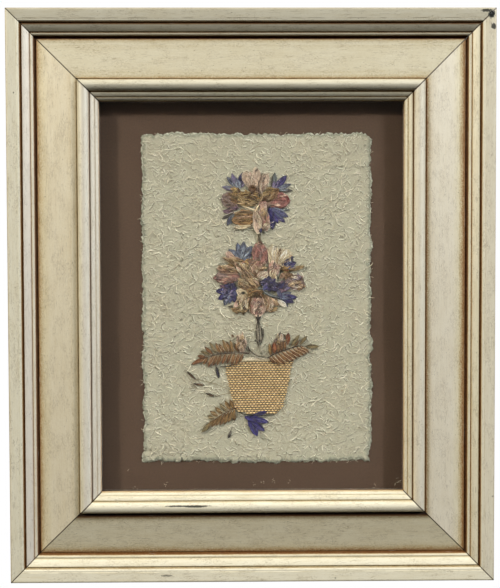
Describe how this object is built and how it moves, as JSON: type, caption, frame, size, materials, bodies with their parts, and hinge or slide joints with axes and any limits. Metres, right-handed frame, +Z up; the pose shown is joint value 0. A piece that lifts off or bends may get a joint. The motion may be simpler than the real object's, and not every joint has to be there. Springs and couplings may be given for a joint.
{
  "type": "pressed flower frame",
  "caption": "Pressed flower topiary with a woven pot on handmade paper, behind glass in a broad antiqued cream wooden frame with mitred corners.",
  "frame": {"origin": "middle notch of the hanger, at the wall, where the nail carries the frame", "axes": "+X to the viewer's right, +Z up, +Y into the wall, so the picture faces -Y"},
  "size_m": [0.4274, 0.0307, 0.5036],
  "materials": {
    "moulding": "cream paint over brown, rubbed and antiqued, satin",
    "glass": "clear, polished",
    "mount_board": "brown, matt",
    "backing_board": "brown, matt",
    "spacer": "dark brown, matt",
    "point": "bright steel",
    "hanger": "zinc plated, satin",
    "handmade_paper": "rough, fibrous, matt",
    "woven_cloth": "coarse natural weave, matt",
    "blue_florets": "dry, matt",
    "grey_florets": "dry, matt",
    "pale_petals": "dry, matt",
    "rose_petals": "dry, matt",
    "mauve_petals": "dry, matt",
    "tan_petals": "dry, matt",
    "brown_leaves": "dry, matt",
    "dark_bits": "dry, matt"
  },
  "bodies": {
    "root": {"backing_board": "backing_board", "fallen_floret": "blue_florets", "fallen_leaf": "mauve_petals", "fallen_seed": "dark_bits", "fallen_sliver_high": "dark_bits", "fallen_sliver_low": "dark_bits", "fallen_sliver_middle": "dark_bits", "glass": "glass", "hanger": "hanger", "middle_floret_grey": "grey_florets", "middle_floret_indigo": "blue_florets", "middle_floret_navy": "blue_florets", "middle_floret_slate": "grey_florets", "middle_floret_violet": "blue_florets", "middle_flower_tan": "tan_petals", "middle_petal_cream_left": "pale_petals", "middle_petal_cream_right": "pale_petals", "middle_petal_mauve": "mauve_petals", "middle_petal_pink": "pale_petals", "middle_petal_rose_foot": "rose_petals", "middle_petal_rose_left": "rose_petals", "middle_petal_rose_upper": "rose_petals", "middle_petal_tan_lower": "tan_petals", "middle_petal_tan_upper": "tan_petals", "middle_petal_violet": "mauve_petals", "middle_strap_tan": "tan_petals", "mount_board": "mount_board", "paper_sheet": "handmade_paper", "point_bottom": "point", "point_left": "point", "point_right": "point", "point_top": "point", "pot_cloth": "woven_cloth", "rail_bottom": "moulding", "rail_left": "moulding", "rail_right": "moulding", "rail_top": "moulding", "spacer_bottom": "spacer", "spacer_left": "spacer", "spacer_right": "spacer", "spacer_top": "spacer", "sprig_fallen": "brown_leaves", "sprig_left": "brown_leaves", "sprig_petal": "pale_petals", "sprig_right": "brown_leaves", "stem_lower": "dark_bits", "stem_upper": "pale_petals", "top_floret_grey": "grey_florets", "top_floret_indigo": "blue_florets", "top_floret_slate": "grey_florets", "top_floret_violet": "blue_florets", "top_petal_mauve": "mauve_petals", "top_petal_olive_left": "tan_petals", "top_petal_olive_right": "tan_petals", "top_petal_orange": "tan_petals", "top_petal_pink_left": "pale_petals", "top_petal_pink_lower": "pale_petals", "top_petal_pink_middle": "pale_petals", "top_petal_pink_right": "pale_petals", "top_petal_rose": "rose_petals"}
  },
  "joints": []
}
